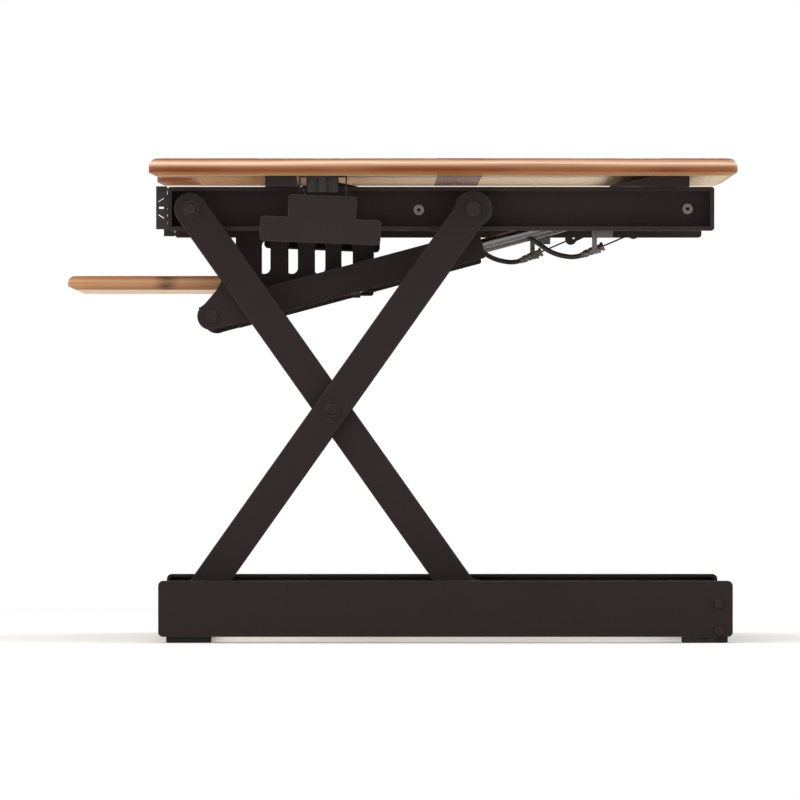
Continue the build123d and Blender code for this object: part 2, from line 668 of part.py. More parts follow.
LEVER_PLATE_X = 457.0
LEVER_SHEET = 1.6
lever_side = turned_plane(LEVER_PLATE_X, (LEVER_Y, LEVER_Z), -math.radians(LEVER_TILT))
with BuildPart() as lever:
    with BuildSketch(lever_side):
        with Locations((0, -9)):
            RectangleRounded(68, 30, 3)
        with Locations((-1, -29)):
            RectangleRounded(121, 25, 4.5)
    extrude(amount=LEVER_SHEET)
    fillet(lever.edges().filter_by(Axis.X).group_by(SortBy.LENGTH)[0], 0.4)
    with BuildSketch(turned_plane(LEVER_PLATE_X - 7, (LEVER_Y, LEVER_Z), -math.radians(LEVER_TILT))):
        with Locations((-1, -40.2)):
            Rectangle(112, 1.6)
    extrude(amount=7 + LEVER_SHEET)
    with BuildSketch(lever_side):
        with Locations((-1, -38)):
            Rectangle(112, 6)
    extrude(amount=LEVER_SHEET)
    for y in (EAR_REAR + 6, EAR_FRONT - 5.5):
        with BuildSketch(Plane.XZ.offset(-y)):
            with Locations((LEVER_X + 2.5, LEVER_Z)):
                Rectangle(10, 10)
            with Locations((LEVER_X, LEVER_Z)):
                Circle(5)
                Circle(PIN_RADIUS + RUNNING, mode=Mode.SUBTRACT)
        extrude(amount=EAR_SHEET)
write_pair(lever, "hand_lever")

# ---------------------------------------------------------------- gas struts


def strut_point(distance, lift=0.0):
    """A (y, z) point at a distance along the strut from its front pin, and square to it by lift."""
    return (
        STRUT_FRONT[0] + distance * math.cos(STRUT_ANGLE) - lift * math.sin(STRUT_ANGLE),
        STRUT_FRONT[1] + distance * math.sin(STRUT_ANGLE) + lift * math.cos(STRUT_ANGLE),
    )


def strut_section(distance):
    """The plane across the strut at a distance from its front pin."""
    return Plane(
        origin=(STRUT_X, *strut_point(distance)),
        x_dir=(1, 0, 0),
        z_dir=(0, math.cos(STRUT_ANGLE), math.sin(STRUT_ANGLE)),
    )


with BuildPart() as housing:
    with BuildSketch(turned_plane(STRUT_X - HOUSING_WIDTH / 2, STRUT_FRONT, STRUT_ANGLE)):
        with Locations(((HOUSING_START + HOUSING_END) / 2, 0)):
            RectangleRounded(HOUSING_END - HOUSING_START, HOUSING_HEIGHT, 2.5)
    extrude(amount=HOUSING_WIDTH)
    with BuildSketch(turned_plane(STRUT_X - HOUSING_WIDTH / 2 + HOUSING_SHEET, STRUT_FRONT, STRUT_ANGLE)):
        with Locations(((HOUSING_START + HOUSING_END) / 2, HOUSING_SHEET)):
            Rectangle(HOUSING_END - HOUSING_START + 2, HOUSING_HEIGHT)
    extrude(amount=HOUSING_WIDTH - 2 * HOUSING_SHEET, mode=Mode.SUBTRACT)
write_pair(housing, "strut_housing")

TUBE_START = 30.0
TUBE_END = 276.0
FITTING_WIDTH = HOUSING_WIDTH - 2 * HOUSING_SHEET
with BuildPart() as gas_tube:
    with BuildSketch(strut_section(TUBE_START)):
        Circle(TUBE_RADIUS)
    extrude(amount=TUBE_END - TUBE_START)
    with BuildSketch(turned_plane(STRUT_X - FITTING_WIDTH / 2, STRUT_FRONT, STRUT_ANGLE)):
        with Locations((11, 1.5)):
            Rectangle(42, 21)
        with Locations((2.1, -8)):
            Rectangle(16.8, 28.6, mode=Mode.SUBTRACT)
    extrude(amount=FITTING_WIDTH)
    with BuildSketch(strut_section(TUBE_START + 4)):
        Circle(TUBE_BORE)
    extrude(amount=TUBE_END - TUBE_START - 10, mode=Mode.SUBTRACT)
    with BuildSketch(strut_section(TUBE_END - 8)):
        Circle(ROD_RADIUS + RUNNING)
    extrude(amount=10, mode=Mode.SUBTRACT)
write_pair(gas_tube, "gas_tube")

with BuildPart() as gas_rod:
    with BuildSketch(strut_section(ROD_START)):
        Circle(ROD_RADIUS)
    extrude(amount=STRUT_LENGTH - ROD_START - 9)
    with BuildSketch(strut_section(ROD_START)):
        Circle(TUBE_BORE - RUNNING)
    extrude(amount=8)
    with BuildSketch(Plane.YZ.offset(STRUT_X - EYE_WIDTH / 2)):
        with Locations(STRUT_REAR):
            Circle(11)
            Circle(STUD_RADIUS + RUNNING, mode=Mode.SUBTRACT)
    extrude(amount=EYE_WIDTH)
write_pair(gas_rod, "gas_rod")

# ---------------------------------------------------------------- release cables

STOP_LENGTH = 11.0


def stop_point(shift, distance):
    """A (x, y, z) point along the release wire's line, measured from the middle of its stop block."""
    return (CABLE_X, STOP_Y + shift + distance * WIRE_DIRECTION[1], STOP_Z + distance * WIRE_DIRECTION[2])


def cable_stop(shift):
    """A bent tab under the rail that holds the end of the cable's sheath."""
    along = Plane(origin=stop_point(shift, -STOP_LENGTH / 2), x_dir=(1, 0, 0), z_dir=WIRE_DIRECTION)
    post = STOP_Y + shift - 4.5
    outer = RAIL_X + 3.5
    with BuildPart() as piece:
        with BuildSketch(Plane.YZ.offset(outer - 2.5)):
            with Locations((post, 402)):
                Rectangle(5, 22)
            with Locations((post + 10, 409.5)):
                Rectangle(17, 7)
        extrude(amount=2.5)
        with BuildSketch(Plane.XY.offset(391)):
            with Locations(((CABLE_X + outer) / 2 - 2, post + 3.6)):
                Rectangle(outer - CABLE_X + 4, 6)
        extrude(amount=3.5)
        with BuildSketch(along):
            RegularPolygon(5.2, 6)
        extrude(amount=3)
        with BuildSketch(along):
            Circle(3.4)
        extrude(amount=STOP_LENGTH)
        with BuildSketch(along.offset(STOP_LENGTH - 3)):
            RegularPolygon(5.2, 6)
        extrude(amount=3)
        with BuildSketch(along.offset(3)):
            Circle(1.3)
        extrude(amount=STOP_LENGTH, mode=Mode.SUBTRACT)
    return piece


def release_link(shift):
    """The inner wire with its lug plate, which is slotted over the strut's rear stud."""
    lug = (LUG_Y + shift, LUG_Z)
    reach = math.hypot(STRUT_REAR[0] - lug[0], STRUT_REAR[1] - lug[1])
    turn = math.atan2(STRUT_REAR[1] - lug[1], STRUT_REAR[0] - lug[0])
    with BuildPart() as piece:
        with BuildSketch(Plane.YZ.offset(CABLE_X - 1.25)):
            with Locations(lug):
                Circle(6)
            with Locations(STRUT_REAR):
                Circle(10.5)
            with Locations(((lug[0] + STRUT_REAR[0]) / 2, (lug[1] + STRUT_REAR[1]) / 2)):
                Rectangle(reach, 9, rotation=math.degrees(turn))
            slot_turn = math.degrees(math.atan2(WIRE_DIRECTION[2], WIRE_DIRECTION[1]))
            slot_middle = (STRUT_REAR[0] + 1.6 * WIRE_DIRECTION[1], STRUT_REAR[1] + 1.6 * WIRE_DIRECTION[2])
            with Locations(slot_middle):
                SlotOverall(11.6, 2 * STUD_RADIUS + 0.4, rotation=slot_turn, mode=Mode.SUBTRACT)
            with Locations((lug[0] + 2.9, lug[1] + 1.2)):
                Circle(1.1, mode=Mode.SUBTRACT)
        extrude(amount=2.5)
        with BuildSketch(Plane(origin=stop_point(shift, 2), x_dir=(1, 0, 0), z_dir=WIRE_DIRECTION)):
            Circle(WIRE_RADIUS)
        extrude(amount=WIRE_LENGTH - 6)
    return piece


def sheath(shift):
    """The cable's outer sheath, from the lever's block over the rail and back to its stop."""
    middle = shift / 2
    end = stop_point(shift, -STOP_LENGTH / 2)
    lead = stop_point(shift, -STOP_LENGTH / 2 - 20)
    route = [
        (LEVER_X - 8, -80, 461.6),
        (405, -80, 461.6),
        (366, -72, 461.2),
        (345, -42, 455),
        (344, 0 + middle / 2, 445),
        (348, 48 + middle, 436),
        (350, 96 + shift, 425),
        (350, 130 + shift, 406),
        (350, 152 + shift, 390),
        lead,
        end,
    ]
    with BuildPart() as piece:
        with BuildLine() as path:
            FilletPolyline(*route, radius=corner_radii(route))
        with BuildSketch(Plane(origin=path.line @ 0, z_dir=path.line % 0)):
            Circle(SHEATH_RADIUS)
        sweep(path=path.line)
    print("sheath radii", [round(r, 1) for r in corner_radii(route)])
    length = sum(edge.length for edge in path.line.edges())
    print("sheath volume over section times length", piece.part.volume / (math.pi * SHEATH_RADIUS**2 * length))
    return piece


with BuildPart() as cable_stops:
    add(cable_stop(0).part)
    add(mirror(cable_stop(LEFT_CABLE_SHIFT).part, about=Plane.YZ))
write(cable_stops, "cable_stops")

for side, shift, label in ((RIGHT, 0, "right"), (LEFT, LEFT_CABLE_SHIFT, "left")):
    made_link = release_link(shift)
    made_sheath = sheath(shift)
    with BuildPart() as link:
        add(made_link.part if side == RIGHT else mirror(made_link.part, about=Plane.YZ))
    with BuildPart() as outer:
        add(made_sheath.part if side == RIGHT else mirror(made_sheath.part, about=Plane.YZ))
    write(link, f"release_link_{label}")
    write(outer, f"cable_sheath_{label}")
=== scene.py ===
import json
import math

import bpy
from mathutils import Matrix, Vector


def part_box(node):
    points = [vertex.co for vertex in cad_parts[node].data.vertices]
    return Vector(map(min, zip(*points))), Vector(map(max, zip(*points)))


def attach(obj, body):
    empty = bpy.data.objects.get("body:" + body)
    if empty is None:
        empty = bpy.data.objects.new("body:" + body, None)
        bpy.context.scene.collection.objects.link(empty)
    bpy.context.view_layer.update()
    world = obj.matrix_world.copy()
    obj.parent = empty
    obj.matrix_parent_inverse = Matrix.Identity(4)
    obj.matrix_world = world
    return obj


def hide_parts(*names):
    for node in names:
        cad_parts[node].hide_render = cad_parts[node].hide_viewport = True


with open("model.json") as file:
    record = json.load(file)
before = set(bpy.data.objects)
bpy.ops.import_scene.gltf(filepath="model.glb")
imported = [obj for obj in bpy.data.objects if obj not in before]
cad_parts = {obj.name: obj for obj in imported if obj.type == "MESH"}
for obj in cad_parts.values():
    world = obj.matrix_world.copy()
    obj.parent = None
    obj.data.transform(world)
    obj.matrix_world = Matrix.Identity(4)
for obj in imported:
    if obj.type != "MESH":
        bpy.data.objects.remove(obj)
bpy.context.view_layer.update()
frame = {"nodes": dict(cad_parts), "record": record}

SIDES = {"right": 1, "left": -1}
SOCKET_DEPTH = 0.0006


# ---------------------------------------------------------------- shader graph helper


class Graph:
    """A material whose nodes are added one call at a time. Sockets and plain values mix freely as inputs."""

    def __init__(self, name):
        self.material = bpy.data.materials.new(name)
        self.material.use_nodes = True
        self.tree = self.material.node_tree
        self.shader = self.tree.nodes["Principled BSDF"]
        coordinates = self.tree.nodes.new("ShaderNodeTexCoord")
        self.position = coordinates.outputs["Object"]
        self.normal = coordinates.outputs["Normal"]

    @classmethod
    def reopen(cls, material):
        """The graph of a material that is already made."""
        graph = cls.__new__(cls)
        graph.material = material
        graph.tree = material.node_tree
        graph.shader = graph.tree.nodes["Principled BSDF"]
        coordinates = graph.tree.nodes["Texture Coordinate"]
        graph.position = coordinates.outputs["Object"]
        graph.normal = coordinates.outputs["Normal"]
        return graph

    def colour_now(self):
        return self.shader.inputs["Base Color"].links[0].from_socket

    def feed(self, socket, value):
        if isinstance(value, bpy.types.NodeSocket):
            self.tree.links.new(value, socket)
        elif value is not None:
            socket.default_value = value

    def node(self, kind, inputs=None, **settings):
        made = self.tree.nodes.new(kind)
        for key, value in settings.items():
            setattr(made, key, value)
        for key, value in (inputs or {}).items():
            self.feed(made.inputs[key], value)
        return made

    def math(self, operation, a, b=None, clamp=False):
        made = self.node("ShaderNodeMath", operation=operation, use_clamp=clamp)
        self.feed(made.inputs[0], a)
        self.feed(made.inputs[1], b)
        return made.outputs[0]

    def split(self, vector):
        return self.node("ShaderNodeSeparateXYZ", {"Vector": vector}).outputs

    def join(self, x, y, z):
        return self.node("ShaderNodeCombineXYZ", {"X": x, "Y": y, "Z": z}).outputs[0]

    def stretch(self, scale, vector=None):
        mapping = self.node("ShaderNodeMapping", {"Vector": vector or self.position, "Scale": scale})
        return mapping.outputs[0]

    def noise(self, vector, scale, detail=4.0, roughness=0.55, distortion=0.0):
        inputs = {"Vector": vector, "Scale": scale, "Detail": detail}
        inputs.update({"Roughness": roughness, "Distortion": distortion})
        return self.node("ShaderNodeTexNoise", inputs).outputs["Fac"]

    def hashed(self, vector):
        made = self.node("ShaderNodeTexWhiteNoise", {"Vector": vector}, noise_dimensions="3D")
        return made.outputs["Value"]

    def remap(self, value, low, high, to_low=0.0, to_high=1.0):
        made = self.node("ShaderNodeMapRange", {"Value": value}, clamp=True)
        limits = {"From Min": low, "From Max": high, "To Min": to_low, "To Max": to_high}
        for key, number in limits.items():
            made.inputs[key].default_value = number
        return made.outputs[0]

    def ramp(self, value, stops):
        made = self.node("ShaderNodeValToRGB", {"Fac": value})
        points = made.color_ramp.elements
        while len(points) < len(stops):
            points.new(0.5)
        for point, (place, colour) in zip(points, stops):
            point.position = place
            point.color = (*colour, 1.0)
        return made.outputs["Color"]

    def mix(self, amount, a, b, blend="MIX"):
        made = self.node("ShaderNodeMix", data_type="RGBA", blend_type=blend)
        self.feed(made.inputs[0], amount)
        for socket, value in ((made.inputs[6], a), (made.inputs[7], b)):
            self.feed(socket, (*value, 1.0) if isinstance(value, tuple) else value)
        return made.outputs[2]

    def bump(self, height, distance, strength=1.0, normal=None):
        inputs = {"Height": height, "Distance": distance, "Strength": strength, "Normal": normal}
        return self.node("ShaderNodeBump", inputs).outputs[0]

    def edges(self, radius):
        """1 on a convex or concave edge and 0 on a flat stretch."""
        rounded = self.node("ShaderNodeBevel", {"Radius": radius}, samples=6).outputs[0]
        true_normal = self.node("ShaderNodeNewGeometry").outputs["Normal"]
        dot = self.node("ShaderNodeVectorMath", {0: rounded, 1: true_normal}, operation="DOT_PRODUCT")
        return self.remap(dot.outputs["Value"], 0.995, 0.86)

    def finish(self, colour, roughness, normal=None, metallic=0.0, **plain):
        self.feed(self.shader.inputs["Base Color"], colour)
        self.feed(self.shader.inputs["Roughness"], roughness)
        self.feed(self.shader.inputs["Normal"], normal)
        self.shader.inputs["Metallic"].default_value = metallic
        for key, value in plain.items():
            self.shader.inputs[key.replace("_", " ")].default_value = value
        return self.material


def srgb(red, green, blue):
    """A linear colour from 0-255 display values."""
    shares = (red / 255, green / 255, blue / 255)
    return tuple(((c + 0.055) / 1.055) ** 2.4 if c > 10 / 255 else c / 12.92 for c in shares)


# ---------------------------------------------------------------- materials

STAVE_WIDTH = 0.0448
STAVE_LENGTH = 0.46
JOINT_HALF = 0.012
ROW_SEED = 3.7
ROW_OFFSET = 7.0
STAVE_DRIFT = 9.0
RING_BUNCHING = 0.05
DARK_STAVE = (0.0352, 0.080)
DARK_STAVE_STRENGTH = 0.86
WOOD_RELIEF = 0.00025
# How strongly pale tan is painted onto downward faces as bounce light.
UNDERSIDE_PAINTED_LIGHT = 0.8
KNOT_HALF = 0.014
WOOD_TONES = (
    (0.0, srgb(176, 122, 78)),
    (0.3, srgb(206, 158, 112)),
    (0.6, srgb(222, 184, 138)),
    (0.85, srgb(232, 198, 156)),
    (1.0, srgb(190, 138, 92)),
)
# Painted highlight and shade of the desktop's rounded edge, bottom to top: dark low bands, a bright band
# near 0.70, dark at the top.
DESK_EDGE_HIGHLIGHT_AND_SHADE = (
    (0.0, srgb(170, 122, 84)),
    (0.12, srgb(150, 98, 58)),
    (0.26, srgb(112, 52, 22)),
    (0.40, srgb(126, 68, 36)),
    (0.50, srgb(146, 98, 68)),
    (0.60, srgb(196, 154, 124)),
    (0.70, srgb(240, 208, 180)),
    (0.80, srgb(204, 162, 134)),
    (0.90, srgb(148, 96, 70)),
    (1.0, srgb(98, 50, 34)),
)
# Painted highlight and shade of the tray's edge, bottom to top, lightest in the middle.
TRAY_EDGE_HIGHLIGHT_AND_SHADE = (
    (0.0, srgb(150, 108, 78)),
    (0.2, srgb(168, 104, 60)),
    (0.45, srgb(198, 156, 118)),
    (0.65, srgb(192, 146, 108)),
    (0.85, srgb(166, 108, 68)),
    (1.0, srgb(132, 78, 46)),
)


def stave_layout(g, x, y, row_shift):
    """A random number for each stave, and 1 on the glue lines between them."""
    across = g.math("ADD", g.math("DIVIDE", y, STAVE_WIDTH), row_shift)
    row = g.math("FLOOR", across)
    row_random = g.hashed(g.join(row, ROW_SEED, row_shift))
    along = g.math("ADD", g.math("DIVIDE", x, STAVE_LENGTH), g.math("MULTIPLY", row_random, ROW_OFFSET))
    stave_random = g.hashed(g.join(row, g.math("FLOOR", along), row_shift + 0.5))
    lines = []
    for place, half in ((across, JOINT_HALF), (along, JOINT_HALF * STAVE_WIDTH / STAVE_LENGTH)):
        from_middle = g.math("ABSOLUTE", g.math("SUBTRACT", g.math("FRACT", place), 0.5))
        lines.append(g.remap(from_middle, 0.5 - half, 0.5))
    return stave_random, g.math("MAXIMUM", *lines)


def wood_grain(g, x, y, z, stave_random):
    """Broad figure with growth rings at uneven spacing, then the broad part, the fibres and the pores."""
    drift = g.math("MULTIPLY", stave_random, STAVE_DRIFT)
    grain_y = g.math("ADD", y, drift)
    grain_z = g.math("ADD", z, drift)
    placed = g.join(x, grain_y, grain_z)
    broad = g.noise(g.stretch((2.2, 34.0, 34.0), placed), 1.0, 5.0, 0.6, 0.6)
    spread = g.noise(g.stretch((0.9, 36.0, 36.0), placed), 1.0, 2.0)
    uneven = g.math("MULTIPLY", g.math("SUBTRACT", spread, 0.5), RING_BUNCHING)
    bunched = g.join(x, g.math("ADD", grain_y, uneven), grain_z)
    rings = g.node(
        "ShaderNodeTexWave",
        {"Vector": g.stretch((0.35, 9.0, 9.0), bunched), "Scale": 3.4, "Distortion": 6.0, "Detail": 3.0},
        wave_type="BANDS",
        bands_direction="Y",
    ).outputs["Fac"]
    fibres = g.noise(g.stretch((14.0, 620.0, 620.0), placed), 1.0, 3.0, 0.7)
    pores = g.noise(g.stretch((60.0, 1900.0, 1900.0), placed), 1.0, 2.0, 0.5)
    figure = g.math("ADD", g.math("MULTIPLY", rings, 0.42), g.math("MULTIPLY", broad, 0.58))
    return figure, broad, fibres, pores


def edge_bands(g, y, z, node, bands, knot_y):
    """The shaped edge: bands of painted highlight and shade from bottom to top, with pale patches, thin
    streaks and a knot.
    """
    low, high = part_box(node)
    streaks = g.noise(g.stretch((2.2, 2.2, 560.0)), 1.0, 5.0, 0.62, 0.15)
    soft = g.noise(g.stretch((5.0, 5.0, 120.0)), 1.0, 3.0, 0.55, 0.2)
    patches = g.noise(g.stretch((3.2, 3.2, 10.0)), 1.0, 3.0, 0.5)
    level = g.math("DIVIDE", g.math("SUBTRACT", z, low[2]), high[2] - low[2])
    level = g.math("ADD", level, g.math("MULTIPLY", g.math("SUBTRACT", soft, 0.5), 0.22))
    paler = g.math("MULTIPLY", g.remap(patches, 0.42, 0.62), g.remap(level, 0.66, 0.48))
    # The ramp paints the edge's highlight and shade by height.
    colour = g.mix(g.math("MULTIPLY", paler, 0.5), g.ramp(level, bands), srgb(200, 148, 106))
    line = g.math("MULTIPLY", g.remap(streaks, 0.52, 0.66), g.remap(level, 0.8, 0.55, 0.2, 1.0))
    colour = g.mix(g.math("MULTIPLY", line, 0.6), colour, srgb(124, 62, 30))
    if knot_y is not None:
        wavy_y = g.math("ADD", y, g.math("MULTIPLY", soft, 0.01))
        near = g.math("ABSOLUTE", g.math("SUBTRACT", wavy_y, knot_y))
        knot = g.math("MULTIPLY", g.remap(near, KNOT_HALF, 0.002), g.remap(soft, 0.25, 0.55, 0.4, 1.0))
        colour = g.mix(g.math("MULTIPLY", knot, 0.85), colour, srgb(76, 40, 20))
    return colour


def wood_material(name, row_shift, dark_row, node, bands, knot_y=None):
    """Laminated staves that run along X, with growth rings, pores, glue lines, a paler underside painted as
    bounce light, and an edge painted with bands of highlight and shade.
    """
    g = Graph(name)
    x, y, z = g.split(g.position)
    stave_random, joint = stave_layout(g, x, y, row_shift)
    figure, broad, fibres, pores = wood_grain(g, x, y, z, stave_random)
    tint = g.ramp(stave_random, WOOD_TONES)
    colour = g.mix(g.remap(figure, 0.34, 0.72, 0.0, 0.55), tint, srgb(150, 92, 50))
    colour = g.mix(g.remap(fibres, 0.4, 0.75, 0.0, 0.30), colour, srgb(128, 76, 40))
    colour = g.mix(g.remap(pores, 0.62, 0.74, 0.0, 0.35), colour, srgb(92, 52, 26))

    up = g.split(g.normal)[2]
    # Painted bounce light: faces that look down are mixed towards pale tan, and less so on the dark stave.
    painted_underside_light = g.remap(up, -0.5, -0.9, 0.0, UNDERSIDE_PAINTED_LIGHT)
    if dark_row:
        past_front = g.math("GREATER_THAN", y, DARK_STAVE[0])
        inside = g.math("MULTIPLY", past_front, g.math("LESS_THAN", y, DARK_STAVE[1]))
        heart = g.mix(g.remap(figure, 0.3, 0.7), srgb(118, 64, 32), srgb(70, 36, 18))
        colour = g.mix(g.math("MULTIPLY", inside, DARK_STAVE_STRENGTH), colour, heart)
        painted_underside_light = g.math("MULTIPLY", painted_underside_light, g.math("SUBTRACT", 1.0, g.math("MULTIPLY", inside, 0.9)))
    colour = g.mix(g.math("MULTIPLY", joint, 0.55), colour, srgb(84, 48, 24))
    colour = g.mix(painted_underside_light, colour, srgb(244, 214, 176))
    on_edge = g.remap(g.math("SUBTRACT", 1.0, g.math("ABSOLUTE", up)), 0.02, 0.10)
    colour = g.mix(on_edge, colour, edge_bands(g, y, z, node, bands, knot_y))

    rough = g.remap(g.math("ADD", fibres, g.math("MULTIPLY", joint, 0.4)), 0.3, 1.0, 0.46, 0.64)
    relief = g.math("ADD", g.math("MULTIPLY", fibres, 0.5), g.math("MULTIPLY", broad, 0.2))
    height = g.bump(g.math("SUBTRACT", relief, joint), WOOD_RELIEF, 0.6)
    return g.finish(colour, rough, height, Specular_IOR_Level=0.14)


COAT_RELIEF = 0.00007
WORN_AND_HIGHLIGHT_COAT = srgb(92, 86, 82)


def powder_coat(name, base, edge_wear_and_highlight_colour=WORN_AND_HIGHLIGHT_COAT):
    """Fine textured paint that turns grey along its edges, partly from wear and partly as a painted
    highlight.
    """
    g = Graph(name)
    cloud = g.noise(g.position, 9.0, 4.0)
    peel = g.noise(g.position, 420.0, 3.0, 0.6)
    speck = g.noise(g.position, 1500.0, 2.0, 0.5)
    scuff = g.noise(g.stretch((40.0, 40.0, 260.0)), 1.0, 4.0, 0.7)
    colour = g.mix(g.remap(cloud, 0.3, 0.7, 0.0, 0.35), base, tuple(1.28 * c for c in base))
    colour = g.mix(g.remap(speck, 0.55, 0.75, 0.0, 0.35), colour, tuple(2.0 * c for c in base))
    # Grey edges: partly real wear, partly a painted highlight where the bevels catch the light.
    edge_wear_and_highlight = g.math("MULTIPLY", g.edges(0.0009), g.remap(scuff, 0.34, 0.66, 0.25, 1.0))
    colour = g.mix(g.math("MULTIPLY", edge_wear_and_highlight, 0.75), colour, edge_wear_and_highlight_colour)
    rough = g.remap(peel, 0.3, 0.7, 0.56, 0.72)
    rough = g.math("SUBTRACT", rough, g.math("MULTIPLY", edge_wear_and_highlight, 0.18))
    height = g.math("ADD", g.math("MULTIPLY", peel, 0.7), g.math("MULTIPLY", speck, 0.3))
    return g.finish(colour, rough, g.bump(height, COAT_RELIEF, 0.55), Specular_IOR_Level=0.12)


def brushed_metal(name, base, low, high, streak):
    """Turned or drawn metal: fine streaks in colour, roughness and relief, with handling marks and a painted
    highlight along its edges.
    """
    g = Graph(name)
    lines = g.noise(g.stretch(streak), 1.0, 4.0, 0.7)
    marks = g.noise(g.position, 60.0, 5.0, 0.65)
    stain = g.noise(g.position, 14.0, 4.0)
    darker = tuple(0.55 * c for c in base)
    colour = g.mix(g.remap(lines, 0.3, 0.7, 0.0, 0.6), base, darker)
    colour = g.mix(g.remap(stain, 0.5, 0.8, 0.0, 0.35), colour, darker)
    # Painted highlight: edges are coloured brighter than the metal.
    painted_edge_highlight = g.edges(0.0006)
    colour = g.mix(g.math("MULTIPLY", painted_edge_highlight, 0.6), colour, tuple(min(1.0, 1.7 * c) for c in base))
    mixed = g.math("ADD", g.math("MULTIPLY", lines, 0.6), g.math("MULTIPLY", marks, 0.4))
    rough = g.remap(mixed, 0.3, 0.7, low, high)
    return g.finish(colour, rough, g.bump(mixed, 0.00006, 0.6), metallic=1.0)


def ring_screw_steel():
    """The grey head of a socket screw, with painted shade inside its socket."""
    material = brushed_metal("rail_screw_steel", srgb(128, 120, 116), 0.34, 0.5, (40.0, 300.0, 300.0))
    g = Graph.reopen(material)
    x = g.math("ABSOLUTE", g.split(g.position)[0])
    low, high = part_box("rail_screws")
    face = max(abs(low[0]), abs(high[0]))
    # Painted shade: everything deeper than the socket's rim is coloured near-black.
    head = g.math("GREATER_THAN", x, face - SOCKET_DEPTH)
    g.feed(g.shader.inputs["Base Color"], g.mix(head, srgb(24, 20, 19), g.colour_now()))
    return material


def moulded_plastic(name, base, low, high):
    """Spark-textured moulding with a slightly polished edge that is also painted lighter as a highlight."""
    g = Graph(name)
    cells = g.node("ShaderNodeTexVoronoi", {"Vector": g.position, "Scale": 1300.0}).outputs["Distance"]
    cloud = g.noise(g.position, 30.0, 4.0)
    colour = g.mix(g.remap(cloud, 0.35, 0.7, 0.0, 0.5), base, tuple(1.5 * c for c in base))
    # Edge mask: lower roughness for polish, and a painted highlight in the colour.
    edge = g.edges(0.0007)
    colour = g.mix(g.math("MULTIPLY", edge, 0.4), colour, tuple(3.0 * c for c in base))
    rough = g.math("SUBTRACT", g.remap(cloud, 0.3, 0.7, low, high), g.math("MULTIPLY", edge, 0.12))
    return g.finish(colour, rough, g.bump(cells, 0.00005, 0.5), Specular_IOR_Level=0.3)


def dusty_rubber(name, base):
    """Matte rubber with dust in its pores."""
    g = Graph(name)
    grit = g.noise(g.position, 700.0, 4.0, 0.7)
    dust = g.noise(g.position, 40.0, 5.0, 0.6)
    colour = g.mix(g.remap(dust, 0.5, 0.75, 0.0, 0.4), base, srgb(86, 82, 78))
    rough = g.remap(grit, 0.3, 0.7, 0.78, 0.94)
    return g.finish(colour, rough, g.bump(grit, 0.0001, 0.7), Specular_IOR_Level=0.2)


PAINT = powder_coat("black_powder_coat", srgb(41, 33, 31))
# The lever's third colour is its grey edge, partly wear and partly painted highlight.
LEVER_PAINT = powder_coat("lever_powder_coat", srgb(43, 36, 34), srgb(108, 100, 95))
DESK_WOOD = wood_material("desktop_laminated_wood", 0.214, True, "desktop_board", DESK_EDGE_HIGHLIGHT_AND_SHADE)
# A lighter copy of the black paint for the rails, painted light to offset the shade inside their channels.
RAIL_PAINT_LIFTED_FOR_SHADE = powder_coat("rail_powder_coat_lifted_for_shade", srgb(51, 43, 41))
TRAY_WOOD = wood_material("tray_laminated_wood", 5.37, False, "keyboard_tray_board", TRAY_EDGE_HIGHLIGHT_AND_SHADE, -0.232)
DARK_STEEL = brushed_metal("blackened_steel", srgb(60, 54, 52), 0.38, 0.56, (300.0, 40.0, 40.0))
GREY_STEEL = brushed_metal("dull_grey_steel", srgb(112, 109, 106), 0.36, 0.54, (60.0, 60.0, 300.0))
ZINC = brushed_metal("zinc_plated_steel", srgb(186, 184, 180), 0.26, 0.44, (380.0, 30.0, 30.0))
ROD_STEEL = brushed_metal("ground_rod_steel", srgb(128, 126, 124), 0.14, 0.26, (900.0, 26.0, 26.0))
RING_STEEL = ring_screw_steel()
PLASTIC = moulded_plastic("black_moulding", srgb(40, 35, 34), 0.46, 0.6)
NYLON = moulded_plastic("roller_nylon", srgb(52, 48, 46), 0.36, 0.5)
SHEATHING = moulded_plastic("cable_sheathing", srgb(34, 31, 30), 0.3, 0.42)
RUBBER = dusty_rubber("foot_rubber", srgb(36, 33, 32))

SPECIAL = {
    "desktop_board": DESK_WOOD,
    "keyboard_tray_board": TRAY_WOOD,
    "rail_screws": RING_STEEL,
    "upper_roller_axles": DARK_STEEL,
    "strut_rear_studs": DARK_STEEL,
    "cable_stops": GREY_STEEL,
    "rubber_feet": RUBBER,
    "cable_anchor_blocks": PLASTIC,
    "rail_front_caps": PLASTIC,
}
for side in SIDES:
    SPECIAL[f"gas_rod_{side}"] = ROD_STEEL
    SPECIAL[f"cable_sheath_{side}"] = SHEATHING
    SPECIAL[f"upper_rail_{side}"] = RAIL_PAINT_LIFTED_FOR_SHADE
    SPECIAL[f"release_link_{side}"] = DARK_STEEL
    SPECIAL[f"hand_lever_{side}"] = LEVER_PAINT
    SPECIAL[f"upper_roller_{side}"] = NYLON
    SPECIAL[f"lower_roller_{side}"] = NYLON
BY_SLOT = {
    "black_paint": PAINT,
    "dark_steel": DARK_STEEL,
    "bright_steel": ZINC,
    "black_plastic": PLASTIC,
    "black_rubber": RUBBER,
    "laminated_wood": DESK_WOOD,
}


# ---------------------------------------------------------------- CAD pieces

EDGE_ROUND = {
    "black_paint": 0.0005,
    "laminated_wood": 0.0006,
    "black_plastic": 0.0004,
    "black_rubber": 0.0006,
}
FINE_ROUND = 0.0002


